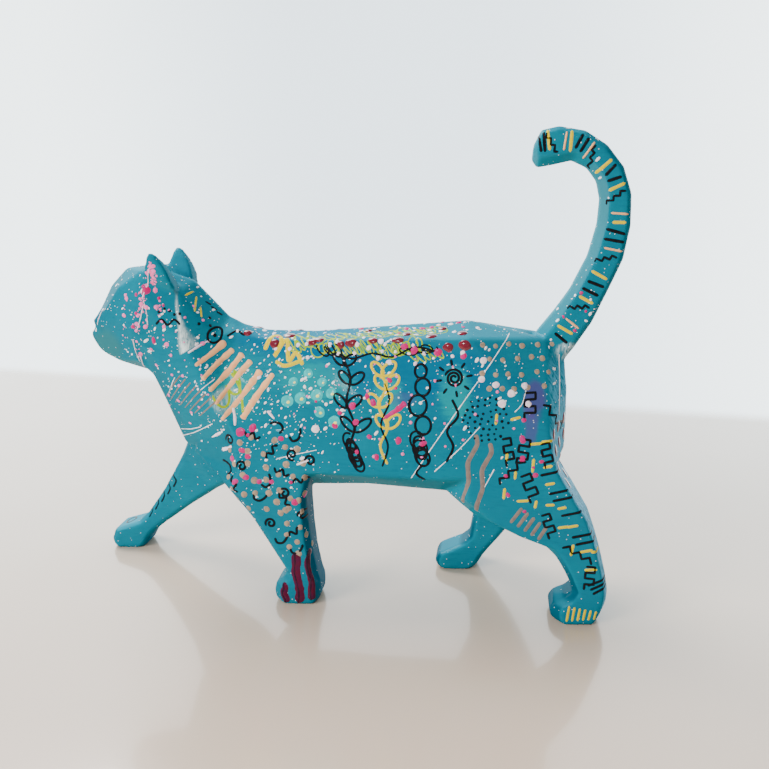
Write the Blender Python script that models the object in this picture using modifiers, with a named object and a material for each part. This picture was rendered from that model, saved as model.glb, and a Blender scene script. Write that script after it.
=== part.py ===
"""Papier-mache cat ornament: a walking cat with flat facets and soft edges, moulded in one piece.

The head looks toward -X, the left side is -Y, and the paws stand on Z = 0.
"""
import bmesh
import bpy
from mathutils import Vector

# driving sizes in metres
LENGTH = 0.220          # nose to the back of the tail
WIDTH = 0.056           # over the outer faces of the legs, the toes spread a little wider
HEIGHT = 0.1894         # floor to the top of the tail
EDGE_SOFTNESS = 0.0009  # width of the rounding on every fold of the paper
TAIL_WIDTH = 0.0115     # side to side
EAR_SPREAD = 0.029      # between the tips of the ears

# The form is laid out on a grid of 220 by 56 by 189.4 units, one for each direction
ALONG = LENGTH / 220
ACROSS = WIDTH / 56
UP = HEIGHT / 189.4

EDGE_STEPS = 2
FOLD_ANGLE = 0.16       # radians, sharper folds than this are rounded
CORNER = 2.0            # small corner of a limb, in grid units
ON_MIDDLE = 1e-7        # metres, a point this near to the middle plane lies on it
MERGE = 0.00005         # metres, the two halves of the body meet within this

# Half sections of body, neck and head from the rump to the nose, on the side of +Y.
# Each runs from the ridge over the back to the middle of the belly:
# ridge, back fold, upper side, lower side, belly fold, middle of the belly.
BODY = [
    [(88, 0, 104), (88.2, 5, 103), (89.8, 8, 92), (90.2, 8.5, 70), (87, 5, 60), (87, 0, 60)],
    [(71, 0, 111.8), (80.9, 6.8, 110.4), (83.4, 21.5, 76.4), (85.4, 24.2, 61), (76, 14, 49), (76, 0, 49)],
    [(50, 0, 115.8), (51, 16, 111.2), (49, 21.2, 86), (42, 26, 56.8), (44.5, 16, 48.4), (44.5, 0, 48.4)],
    [(14, 0, 112.4), (14, 13.5, 109.2), (13, 19.9, 86), (12, 26.3, 57), (12, 15, 49.3), (12, 0, 49.3)],
    [(-12, 0, 109.8), (-12, 10, 107.5), (-12, 18, 86), (-12, 26.3, 57), (-12, 15, 48), (-12, 0, 48)],
    [(-34, 0, 109.8), (-34, 7.5, 107.9), (-34, 16.4, 88), (-38.5, 25, 64), (-38, 14, 49), (-38, 0, 49)],
    [(-43, 0, 112), (-44, 6.4, 110.2), (-47, 13.2, 97), (-45.6, 22, 76), (-61, 8.4, 60), (-71.8, 0, 57.5)],
    [(-49, 0, 115.3), (-51, 10, 108.3), (-60.9, 18, 103.4), (-67, 17.4, 88), (-75, 10, 79.6), (-78.8, 0, 81.4)],
    [(-63, 0, 129.8), (-66.5, 12, 126), (-70.5, 16.5, 114), (-76, 16, 98.6), (-80.2, 10, 91.2), (-82, 0, 89)],
    [(-82, 0, 136), (-80, 12.5, 135.2), (-80, 15.8, 125.3), (-85, 16.5, 109.4), (-85.6, 13.4, 97.6), (-88, 0, 91)],
    [(-93, 0, 134.4), (-91.5, 12, 127.3), (-93, 13.5, 115), (-94, 11.8, 105.7), (-97, 6.5, 96), (-97, 0, 93.4)],
    [(-100.5, 0, 127), (-97.4, 10.5, 120), (-101, 9.3, 112.3), (-103.3, 7.5, 106.6), (-102.8, 4.5, 98), (-103.3, 0, 96)],
    [(-106.3, 0, 116.8), (-105.2, 5, 115), (-106.8, 6, 110.8), (-107.3, 5.6, 106), (-106, 3.8, 99.8), (-106.5, 0, 98.4)],
    [(-109, 0, 112.4), (-109, 2.6, 112), (-109.8, 3.2, 109.6), (-110, 3.2, 105.8), (-108.6, 2.2, 102.8), (-108.8, 0, 102.2)],
]

# Sections of each leg from inside the body to the sole:
# front (x, z), back (x, z), outer y, inner y, front corner and back corner of the outer side,
# each corner as how far it reaches along the section and across it, and how far the toes spread.
LEFT_FORE = [
    ((-50, 90), (-16, 88), 13, 4, (3, 3), (3, 3)),
    ((-56, 72), (-10, 72), 21.8, 4, (12.5, 9), (8, 5)),
    ((-66.5, 56.2), (-9.6, 57), 26, 2, (27, 20.5), (3, 3)),
    ((-47.4, 50), (-12.4, 46), 27, 9, (5.5, 3.6), (1.5, 4)),
    ((-34.8, 35.4), (-11.6, 33), 27.3, 10.5, (3, 3), (1.5, 5)),
    ((-27.8, 23.2), (-10, 21), 27.7, 11.5, (3, 4), (1.5, 5)),
    ((-21.4, 13), (-8.2, 12.5), 28, 12, (2.5, 4), (1.5, 5)),
    ((-22.6, 10.4), (-7, 9), 28, 12, (3, 4), (1.5, 4), 0.5),
    ((-25.8, 7.8), (-6.8, 6), 28, 12, (3, 4), (1.5, 4), 1.2),
    ((-26.6, 4.4), (-7, 3.2), 28, 12, (3.5, 4), (1.5, 4), 1.4),
    ((-26, 1.3), (-7.8, 1), 28, 12, (3.5, 4), (1.5, 4), 1.4),
    ((-24.6, 0), (-8.6, 0), 27.8, 12.2, (3.5, 4), (1.5, 4), 1.4),
]
RIGHT_FORE = [
    ((-50, 79), (-26, 64), 20.4, 3, (6, 8), (3, 3)),
    ((-60, 70), (-37, 52), 23.5, 3, (10, 13.5), (6, 3)),
    ((-72.5, 59), (-47, 43), 26, 3, (9, 15), (3, 3)),
    ((-78.3, 49), (-63, 33), 27, 9, (4, 5), (2.5, 4)),
    ((-89.6, 30.2), (-77.4, 22.8), 27.7, 11.5, (3, 4), (2.5, 4)),
    ((-98.6, 17.8), (-89.4, 13.8), 28, 12, (2.5, 4), (2.5, 4)),
    ((-103.4, 13.2), (-94.6, 9.6), 28, 12, (3, 4), (2.5, 4), 0.5),
    ((-109.7, 11), (-98.2, 5.6), 28, 12, (3, 4), (2.5, 4), 1),
    ((-115.4, 9), (-99.4, 3.2), 28, 12, (3, 4), (2.5, 4), 1.4),
    ((-117.2, 4), (-100.4, 1.4), 28, 12, (3.5, 4), (2.5, 4), 1.4),
    ((-116.4, 1.2), (-101.2, 0.7), 28, 12, (3.5, 4), (2.5, 4), 1.4),
    ((-115, 0), (-101.8, 0), 27.8, 12.2, (3.5, 4), (2.5, 4), 1.4),
]
LEFT_HIND = [
    ((50, 94), (78, 92), 14, 4, (5, 4), (6, 6)),
    ((48, 86), (82, 84), 18, 5, (8, 4), (5, 10)),
    ((46, 74), (86, 73), 22, 6, (8, 4), (2.6, 12)),
    ((44.5, 60), (87.5, 62.5), 25, 7, (8, 4), (1.2, 13)),
    ((44.4, 48.4), (93.6, 53.5), 26.4, 8, (8, 9), (1.6, 12)),
    ((54.9, 39.6), (99.8, 43.6), 26.7, 9.5, (8, 9), (1.5, 10)),
    ((67.6, 34.6), (102.6, 36), 26.9, 11, (7, 8), (1.5, 8)),
    ((82.5, 30.4), (104.2, 31), 27.3, 12, (5, 6), (1.5, 6)),
    ((87.6, 26), (105.6, 26), 27.6, 12, (3, 5), (1.5, 5)),
    ((91.2, 20.6), (107, 20.5), 27.8, 12, (2.5, 4), (1.5, 4)),
    ((95, 13.2), (108.2, 14), 28, 12, (2, 3), (1.5, 4)),
    ((91.8, 9.6), (108, 10), 28, 12, (3, 4), (1.5, 4), 0.5),
    ((87.4, 7), (107.2, 7), 28, 12, (3, 4), (1.5, 4), 1.2),
    ((85.8, 4.2), (106.2, 4), 28, 12, (4, 4.5), (1.5, 4), 1.4),
    ((86.6, 1.3), (105, 1.2), 28, 12, (4, 4.5), (1.5, 4), 1.4),
    ((88.4, 0), (104, 0), 27.8, 12.2, (4, 4.5), (1.5, 4), 1.4),
]
RIGHT_HIND = [
    ((50, 94), (78, 92), 14, 4, (5, 4), (6, 6)),
    ((48, 84), (83, 80), 18.4, 5, (8, 4), (4.5, 10)),
    ((46, 70), (85.5, 70), 22.2, 6, (6, 4), (3, 10)),
    ((44.5, 59), (87.4, 60), 25.2, 7, (6, 4), (3, 9)),
    ((49, 49), (85, 50), 26.7, 9, (4, 4), (2, 6)),
    ((53.6, 37), (78.5, 37), 27, 11, (3, 4), (2, 4)),
    ((53.9, 25.5), (72.2, 25), 27.5, 12, (3, 4), (2, 4)),
    ((52.2, 15), (65.4, 15.6), 28, 12, (2.5, 4), (2, 4)),
    ((48.6, 11.6), (61.4, 10.4), 28, 12, (3, 4), (2, 4), 0.5),
    ((43, 9), (59, 7), 28, 12, (3, 4), (2, 4), 1),
    ((38.8, 7), (57.8, 4.8), 28, 12, (3.5, 4.5), (2, 4), 1.4),
    ((37.3, 3.8), (56.6, 2.6), 28, 12, (4, 4.5), (2, 4), 1.4),
    ((38.4, 1.2), (55.2, 1), 28, 12, (4, 4.5), (2, 4), 1.4),
    ((40.4, 0), (54, 0), 27.8, 12.2, (4, 4.5), (2, 4), 1.4),
]

# Sections of the tail from inside the rump to the tip: inner edge (x, z), outer edge (x, z), share of the width
TAIL = [
    ((72, 104), (84, 96), 1.1),
    ((77.6, 112.8), (91.6, 106), 1.12),
    ((83.6, 120.8), (97.9, 116.4), 1.04),
    ((88.8, 129), (102.9, 128.2), 1),
    ((94.6, 141.6), (108.1, 141), 1),
    ((97.5, 154), (110, 153.4), 1),
    ((97.9, 163), (109.4, 165), 1),
    ((96.2, 169.4), (106, 174.8), 1),
    ((92.4, 174.2), (99.5, 182.5), 1),
    ((86.8, 176.8), (91.4, 187.6), 1),
    ((80.5, 175.4), (81.6, 189.4), 1),
    ((74.2, 174.2), (75.2, 188), 0.95),
    ((72, 177), (72.6, 182.6), 0.6),
]
TAIL_INNER_CORNER = 3.6     # the inner side of the tail is a wedge this deep, in grid units
TAIL_OUTER_CORNER = 1.8
TAIL_INNER_FLAT = 0.3       # width of the inner edge as a share of the tail's width
TAIL_OUTER_FLAT = 0.6

# Sections of an ear from inside the skull to the tip: front x, back x, inner y, outer y, z at front and back.
# y is counted from the line of the tip
EAR = [
    (-79.4, -66, -9, -3.5, 126, 123),
    (-78.8, -67.6, -7, 0.9, 133, 130.5),
    (-78.2, -69.4, -4.6, 1.1, 137, 135),
    (-77.6, -71.6, -3, 1, 139.6, 138.6),
    (-76.6, -74.2, -1, 0.8, 142, 141.8),
]

PAINT = (0.0, 0.27, 0.34, 1.0)
PAINT_ROUGHNESS = 0.28


def clear_scene():
    for item in list(bpy.data.objects):
        bpy.data.objects.remove(item)


def collection(name):
    group = bpy.data.collections.new(name)
    bpy.context.scene.collection.children.link(group)
    return group


def varnished_paint():
    material = bpy.data.materials.new("varnished_paint")
    material.use_nodes = True
    shader = material.node_tree.nodes["Principled BSDF"]
    shader.inputs["Base Color"].default_value = PAINT
    shader.inputs["Roughness"].default_value = PAINT_ROUGHNESS
    shader.inputs["Metallic"].default_value = 0.0
    return material


def place(x, y, z):
    """A point of the grid in metres."""
    return Vector((x * ALONG, y * ACROSS, z * UP))


def skin(name, rings, closed, group):
    """Faces between rings of equal point count, split along the folds, with flat ends."""
    mesh = bpy.data.meshes.new(name)
    bm = bmesh.new()
    loops = [[bm.verts.new(point) for point in ring] for ring in rings]
    count = len(loops[0])
    spans = count if closed else count - 1
    for near, far in zip(loops, loops[1:]):
        for i in range(spans):
            j = (i + 1) % count
            bm.faces.new((near[i], far[i], near[j]))
            bm.faces.new((far[i], far[j], near[j]))
    bm.faces.new(loops[0])
    bm.faces.new(reversed(loops[-1]))
    bmesh.ops.recalc_face_normals(bm, faces=bm.faces)
    bm.to_mesh(mesh)
    bm.free()
    piece = bpy.data.objects.new(name, mesh)
    group.objects.link(piece)
    return piece


def soften(piece):
    """Round the folds as layered paper does."""
    bevel = piece.modifiers.new("soft folds", "BEVEL")
    bevel.limit_method = "ANGLE"
    bevel.angle_limit = FOLD_ANGLE
    bevel.width = EDGE_SOFTNESS
    bevel.segments = EDGE_STEPS


def body(group):
    piece = skin("papier_mache_cat", [[place(*point) for point in ring] for ring in BODY], False, group)
    mesh = piece.data
    bm = bmesh.new()
    bm.from_mesh(mesh)
    middle = [face for face in bm.faces if all(abs(vert.co.y) < ON_MIDDLE for vert in face.verts)]
    bmesh.ops.delete(bm, geom=middle, context="FACES")
    bm.to_mesh(mesh)
    bm.free()
    mirror = piece.modifiers.new("both sides", "MIRROR")
    mirror.use_axis = (False, True, False)
    mirror.merge_threshold = MERGE
    soften(piece)
    return piece


def limb_ring(front, back, outer, inner, nose, heel, side, spread=0.0):
    """Eight corners around a limb, whose section runs from its front edge to its back edge."""
    front = Vector(front)
    back = Vector(back)
    run = (back - front).normalized()
    corners = [
        (front, outer + spread - nose[1]),
        (front + run * nose[0], outer + spread),
        (back - run * heel[0], outer),
        (back, outer - heel[1]),
        (back, inner + CORNER),
        (back - run * CORNER, inner),
        (front + run * CORNER, inner - spread),
        (front, inner - spread + CORNER),
    ]
    return [place(spot.x, side * y, spot.y) for spot, y in corners]


def leg(name, sections, side, group):
    rings = [limb_ring(*section[:6], side, *section[6:]) for section in sections]
    piece = skin(name, rings, True, group)
    soften(piece)
    return piece


def tail_ring(inner, outer, half):
    """Eight corners around the tail: a wedge on the inner side and a narrow flat on the outer side."""
    inner = Vector(inner)
    outer = Vector(outer)
    run = (outer - inner).normalized()
    steps = [
        (inner, TAIL_INNER_FLAT * half),
        (inner + run * TAIL_INNER_CORNER, half),
        (outer - run * TAIL_OUTER_CORNER, half),
        (outer, TAIL_OUTER_FLAT * half),
    ]
    both = steps + [(spot, -y) for spot, y in reversed(steps)]
    return [Vector((spot.x * ALONG, y, spot.y * UP)) for spot, y in both]


def tail(group):
    rings = [tail_ring(inner, outer, share * TAIL_WIDTH / 2) for inner, outer, share in TAIL]
    piece = skin("tail", rings, True, group)
    soften(piece)
    return piece


def ear(name, side, group):
    rings = []
    for front, back, inner, outer, z_front, z_back in EAR:
        corners = [(front, outer, z_front), (back, outer, z_back), (back, inner, z_back), (front, inner, z_front)]
        ring = []
        for x, y, z in corners:
            ring.append(Vector((x * ALONG, side * (EAR_SPREAD / 2 + y * ACROSS), z * UP)))
        rings.append(ring)
    piece = skin(name, rings, True, group)
    soften(piece)
    return piece


def join(piece, limbs):
    """Fuse the limbs with the body into one solid."""
    for limb in limbs:
        union = piece.modifiers.new("join " + limb.name, "BOOLEAN")
        union.operation = "UNION"
        union.solver = "EXACT"
        union.object = limb
        limb.hide_render = True
        limb.display_type = "WIRE"


def stand_on_origin(piece, limbs):
    """Put the middle of the whole cat's footprint at the origin."""
    bpy.context.view_layer.update()
    evaluated = piece.evaluated_get(bpy.context.evaluated_depsgraph_get())
    corners = [Vector(corner) for corner in evaluated.bound_box]
    middle_x = (min(c.x for c in corners) + max(c.x for c in corners)) / 2
    middle_y = (min(c.y for c in corners) + max(c.y for c in corners)) / 2
    floor = min(c.z for c in corners)
    for item in [piece] + limbs:
        item.location = (-middle_x, -middle_y, -floor)


def main():
    clear_scene()
    cat = collection("papier_mache_cat")
    limbs_group = collection("limbs")
    whole = body(cat)
    whole.data.materials.append(varnished_paint())
    limbs = [
        leg("left_fore_leg", LEFT_FORE, -1, limbs_group),
        leg("right_fore_leg", RIGHT_FORE, 1, limbs_group),
        leg("left_hind_leg", LEFT_HIND, -1, limbs_group),
        leg("right_hind_leg", RIGHT_HIND, 1, limbs_group),
        tail(limbs_group),
        ear("left_ear", -1, limbs_group),
        ear("right_ear", 1, limbs_group),
    ]
    join(whole, limbs)
    stand_on_origin(whole, limbs)


main()
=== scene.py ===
import math
import random

import bpy
import numpy as np
from mathutils import Matrix, Vector, noise
from mathutils.bvhtree import BVHTree


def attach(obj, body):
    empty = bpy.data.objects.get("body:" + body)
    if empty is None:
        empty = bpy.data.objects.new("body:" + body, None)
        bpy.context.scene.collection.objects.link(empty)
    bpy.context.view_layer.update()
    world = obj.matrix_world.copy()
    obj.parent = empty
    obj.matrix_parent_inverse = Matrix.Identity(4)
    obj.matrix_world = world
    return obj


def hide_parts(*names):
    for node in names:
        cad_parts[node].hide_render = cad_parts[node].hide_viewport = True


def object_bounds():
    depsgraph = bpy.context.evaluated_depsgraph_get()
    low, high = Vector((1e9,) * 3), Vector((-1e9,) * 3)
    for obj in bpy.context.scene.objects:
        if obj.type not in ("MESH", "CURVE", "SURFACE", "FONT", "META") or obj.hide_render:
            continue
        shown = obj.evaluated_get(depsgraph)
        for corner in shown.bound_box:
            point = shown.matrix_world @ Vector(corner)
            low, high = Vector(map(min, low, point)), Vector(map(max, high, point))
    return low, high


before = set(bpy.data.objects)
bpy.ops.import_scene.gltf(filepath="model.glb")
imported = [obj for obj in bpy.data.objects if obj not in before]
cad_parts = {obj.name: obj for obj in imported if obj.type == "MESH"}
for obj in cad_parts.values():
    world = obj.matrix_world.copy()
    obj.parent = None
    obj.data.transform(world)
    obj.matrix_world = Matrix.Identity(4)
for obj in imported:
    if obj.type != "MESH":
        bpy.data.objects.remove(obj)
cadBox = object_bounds()
mm = 0.001

# camera, where the photographer stood
view = {"place": (0.0656, -0.318, 0.170), "azimuth": 8.2, "pitch": 14.36, "focal": 37.45, "sensor": 36.0,
        "nearest": 0.01}


def setCamera(settings):
    turn = math.radians(settings["azimuth"])
    tilt = math.radians(settings["pitch"])
    forward = Vector((-math.sin(turn) * math.cos(tilt), math.cos(turn) * math.cos(tilt), -math.sin(tilt)))
    right = Vector((math.cos(turn), math.sin(turn), 0))
    pose = Matrix((right, right.cross(forward), -forward)).transposed().to_4x4()
    pose.translation = settings["place"]
    data = bpy.data.cameras.new("camera")
    data.lens = settings["focal"]
    data.sensor_width = settings["sensor"]
    data.clip_start = settings["nearest"]
    camera = bpy.data.objects.new("camera", data)
    bpy.context.scene.collection.objects.link(camera)
    camera.matrix_world = pose
    bpy.context.scene.camera = camera


setCamera(view)


def addObject(name, mesh):
    item = bpy.data.objects.new(name, mesh)
    bpy.context.scene.collection.objects.link(item)
    return item


def linear(red, green, blue):  # screen colour 0 to 255 as scene colour
    parts = [c / 255 for c in (red, green, blue)]
    return tuple(c / 12.92 if c <= 0.04045 else ((c + 0.055) / 1.055) ** 2.4 for c in parts) + (1.0,)


# how bright a surface has to be for each screen level, and how bright white paint is in this room
room = {"levels": (0, 25, 50, 75, 100, 125, 150, 175, 200, 215, 230, 245),
        "brightness": (0.0, 0.0144, 0.0393, 0.0779, 0.131, 0.205, 0.33, 0.57, 1.115, 1.8, 3.4, 6.0),
        "white": 1.8, "palestPaint": 0.92}


def seen(red, green, blue):  # paint that looks this colour in the room's light
    levels, brightness = room["levels"], room["brightness"]
    parts = [float(np.interp(c, levels, brightness)) / room["white"] for c in (red, green, blue)]
    return (*[min(room["palestPaint"], part) for part in parts], 1.0)


# shader maths

class Wire:
    def __init__(self, coat, socket):
        self.coat = coat
        self.socket = socket

    def __add__(self, other):
        return self.coat.maths("ADD", self, other)

    def __sub__(self, other):
        return self.coat.maths("SUBTRACT", self, other)

    def __rsub__(self, other):
        return self.coat.maths("SUBTRACT", other, self)

    def __mul__(self, other):
        return self.coat.maths("MULTIPLY", self, other)

    def __truediv__(self, other):
        return self.coat.maths("DIVIDE", self, other)

    def __rtruediv__(self, other):
        return self.coat.maths("DIVIDE", other, self)

    __radd__ = __add__
    __rmul__ = __mul__


class Coat:  # the nodes of one material
    def __init__(self, name):
        self.material = bpy.data.materials.new(name)
        self.material.use_nodes = True
        self.tree = self.material.node_tree
        self.shader = self.tree.nodes["Principled BSDF"]

    def node(self, kind, settings=None, inputs=None, output=0):
        item = self.tree.nodes.new(kind)
        for key, value in (settings or {}).items():
            setattr(item, key, value)
        for key, value in (inputs or {}).items():
            self.feed(item.inputs[key], value)
        return Wire(self, item.outputs[output])

    def feed(self, socket, value):
        if isinstance(value, Wire):
            self.tree.links.new(value.socket, socket)
        else:
            socket.default_value = value

    def maths(self, operation, first, second=0.0):
        return self.node("ShaderNodeMath", {"operation": operation}, {0: first, 1: second})

    def ease(self, value, low, high):  # 0 below low, 1 above high, smooth between
        settings = {"interpolation_type": "SMOOTHSTEP"}
        return self.node("ShaderNodeMapRange", settings, {"Value": value, "From Min": low, "From Max": high})

    def blend(self, share, first, second):
        settings = {"data_type": "RGBA"}
        return self.node("ShaderNodeMix", settings, {"Factor": share, 6: first, 7: second}, 2)

    def place(self):  # the point on the surface in millimetres
        point = self.node("ShaderNodeTexCoord", output="Object")
        return self.node("ShaderNodeVectorMath", {"operation": "SCALE"}, {0: point, "Scale": 1 / mm})

    def stretch(self, point, scale):
        return self.node("ShaderNodeVectorMath", {"operation": "MULTIPLY"}, {0: point, 1: scale})

    def axes(self, point):
        return [self.node("ShaderNodeSeparateXYZ", inputs={0: point}, output=i) for i in range(3)]

    def cloud(self, point, scale, detail=3.0, rough=0.55):
        inputs = {"Vector": point, "Scale": scale, "Detail": detail, "Roughness": rough}
        return self.node("ShaderNodeTexNoise", inputs=inputs)

    def blot(self, along, up, centre, reach, cloud, ragged=0.5):  # soft oval patch with a ragged rim
        dx = (along - centre[0]) * (1 / reach[0])
        dz = (up - centre[1]) * (1 / reach[1])
        distance = self.maths("SQRT", dx * dx + dz * dz) + (cloud - 0.5) * ragged * 2
        return 1 - self.ease(distance, 0.55, 1.1)

    def bump(self, height, strength, distance):
        inputs = {"Height": height, "Strength": strength, "Distance": distance}
        return self.node("ShaderNodeBump", inputs=inputs)

    def varnish(self, roughness, gloss=None):  # values that are the same all over
        self.shader.inputs["Coat Roughness"].default_value = roughness
        if gloss is not None:
            self.shader.inputs["Specular IOR Level"].default_value = gloss

    def finish(self, **sockets):
        for key, value in sockets.items():
            self.feed(self.shader.inputs[key.replace("_", " ")], value)
        return self.material


# the moulded paper skin

paper = {"voxel": 0.92 * mm, "rounds": 1, "strength": 0.5, "wave": 0.12 * mm, "waveLength": 14 * mm,
         "sole": 0.3 * mm, "mouth": 109.6 * mm, "mouthHalf": 3.0 * mm, "mouthDepth": 1.5 * mm,
         "mouthBack": -97 * mm, "mouthRun": 4 * mm, "mouthSide": 9 * mm}


def mouldPaper(node, settings):
    skin = addObject("painted_cat", node.data.copy())
    remesh = skin.modifiers.new("paper", "REMESH")
    remesh.mode = "VOXEL"
    remesh.voxel_size = settings["voxel"]
    remesh.use_smooth_shade = True
    smooth = skin.modifiers.new("soft folds", "SMOOTH")
    smooth.factor = settings["strength"]
    smooth.iterations = settings["rounds"]
    evaluated = skin.evaluated_get(bpy.context.evaluated_depsgraph_get())
    mesh = bpy.data.meshes.new_from_object(evaluated)
    skin.modifiers.clear()
    skin.data = mesh
    normals = [vertex.normal.copy() for vertex in mesh.vertices]
    places = []
    for vertex, normal in zip(mesh.vertices, normals):
        swell = noise.noise(vertex.co / settings["waveLength"]) - 1
        place = vertex.co + normal * swell * settings["wave"]
        near = max(0.0, 1 - ((place.z - settings["mouth"]) / settings["mouthHalf"]) ** 2)
        ahead = settings["mouthBack"] - place.x
        if ahead > 0 and abs(place.y) < settings["mouthSide"]:
            place.x += settings["mouthDepth"] * near ** 2 * min(1.0, ahead / settings["mouthRun"])
        sole = vertex.co.z < settings["sole"]
        places.extend((place.x, place.y, 0.0 if sole else max(place.z, 0.0)))
    mesh.vertices.foreach_set("co", places)
    mesh.update()
    return skin


skin = mouldPaper(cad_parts["papier_mache_cat"], paper)
print("skin faces", len(skin.data.polygons))

# turquoise ground: colours as seen on screen, and patches as centre, reach and depth on the side view
ground = {
    "base": ((0, 142, 160), (0, 150, 164)), "brushed": (0, 122, 148), "dust": (226, 224, 236),
    "bluer": {"colour": (0, 116, 160),
              "patches": (((32, 99), (44, 13), 0.5), ((-10, 107), (34, 8), 0.6), ((54, 86), (20, 14), 0.2))},
    "greener": {"colour": (20, 182, 180),
                "patches": (((-38, 88), (10, 12), 0.4), ((-6, 92), (18, 9), 0.3), ((24, 88), (6, 10), 0.45),
                            ((50, 90), (7, 12), 0.4))},
    # the jaw patch is a painted reflection of the pale table on the chin facet
    "jaw": {"colour": (58, 142, 148), "patches": (((-97, 102), (9, 9), 0.7),)},
    # the nose patch is painted shade on the nose's small facet
    "nose": {"colour": (0, 98, 128), "patches": (((-104, 115), (3.5, 5), 0.7),)},
    "purple": {"colour": (104, 78, 160),
               "patches": (((80, 89), (5, 8), 0.75), ((79.5, 78), (3, 7), 0.6), ((30, 87), (6, 3), 0.35))},
    # pale patches at the shoulder and by the root of the tail, broken up by the dry noise
    "palePatches": {"colour": (205, 232, 238), "patches": (((-43, 84), (6, 5), 0.35), ((92, 105), (6, 4), 0.6))},
    # the first three plane colours are painted light: a sheen on planes that face up, a reflection of the
    # table on planes that face down, and light on the tail's inner planes
    "upwardSheen": (80, 180, 190), "downwardReflection": (20, 156, 170), "tailInsideLight": (86, 160, 170), "shin": (0, 96, 134),
    # shin and the next two are painted shade: on the back of the fore legs, on forward planes of the chest,
    # and on the front of the hind paws; rump is the rump's own pale paint
    "breastShade": (0, 108, 128), "instepShade": (0, 78, 104), "rump": (140, 200, 222),
    # painted highlight along the crease behind the cheek, widening to a bright foot at the shoulder
    "neckHighlight": {"colour": (206, 238, 246), "front": -47.3, "lean": 0.132, "top": 118, "fade": 129,
               "narrowest": 1.5, "spread": 0.55, "foot": 136.3, "footSlope": 0.571, "lowest": 96},
    "roughness": 0.2, "roughnessSpread": 0.1, "coat": 0.14, "coatRoughness": 0.06, "relief": 0.0005,
}


def patchLayers(coat, paint, along, up, cloud, ragged=0.5):  # a mask and a colour for each patch
    return [(coat.blot(along, up, centre, reach, cloud, ragged) * depth, paint["colour"])
            for centre, reach, depth in paint["patches"]]


def paintedNeckHighlight(coat, neckHighlight, along, up, cloud, dry):  # painted highlight along the neck crease; widens downwards to a crisp slanted foot
    behind = along + up * neckHighlight["lean"] - neckHighlight["front"]
    wide = coat.maths("MAXIMUM", neckHighlight["top"] - up, 0.0) * neckHighlight["spread"] + neckHighlight["narrowest"]
    above = up - along * neckHighlight["footSlope"] - neckHighlight["foot"]
    uneven = cloud - 0.5
    front = coat.ease(behind + uneven * 3, -0.5, 1.0)
    back = 1 - coat.ease(behind / wide + uneven, 0.2, 1.0)
    foot = coat.ease(above, -0.2, 0.4) * coat.ease(up, neckHighlight["lowest"], neckHighlight["lowest"] + 2)
    top = 1 - coat.ease(up, neckHighlight["top"], neckHighlight["fade"])
    return front * back * foot * top * (coat.ease(dry, 0.34, 0.62) * 0.75 + 0.2)


def planeMasks(coat, along, up):  # which way a plane looks, and where it is in millimetres; every mask but the rump's places painted light or shade
    facing = coat.axes(coat.node("ShaderNodeNewGeometry", output="Normal"))
    ahead = 0 - facing[0]
    back = facing[0]
    return {
        "upwardSheen": coat.ease(facing[2], 0.35, 0.85) * 0.25,
        "downwardReflection": coat.ease(0 - facing[2], 0.25, 0.7) * 0.6,
        "tailInsideLight": coat.ease(ahead, 0.4, 0.8) * coat.ease(along, 70, 84) * coat.ease(up, 108, 118) * 0.6,
        "shin": (coat.ease(back, 0.4, 0.8) * (1 - coat.ease(along, 16, 26))
                 * (1 - coat.ease(up, 52, 66)) * 0.6),
        "breastShade": coat.ease(ahead, 0.25, 0.7) * (1 - coat.ease(along, -30, 0)) * 0.55,
        "instepShade": coat.ease(ahead, 0.3, 0.7) * (1 - coat.ease(up, 18, 34)) * coat.ease(along, 20, 40) * 0.75,
        "rump": coat.ease(back, 0.35, 0.8) * coat.ease(along, 60, 84) * (1 - coat.ease(up, 92, 112)),
    }


def fineDust(coat, point):  # the finest spatter, in some of the cells only
    cells = {"Vector": point, "Scale": 0.62, "Randomness": 1.0}
    speck = coat.node("ShaderNodeTexVoronoi", inputs=cells)
    chance = coat.axes(coat.node("ShaderNodeTexVoronoi", inputs=cells, output="Color"))[0]
    return (1 - coat.ease(speck, 0.10, 0.16)) * coat.ease(chance, 0.62, 0.64) * 0.75


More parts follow.
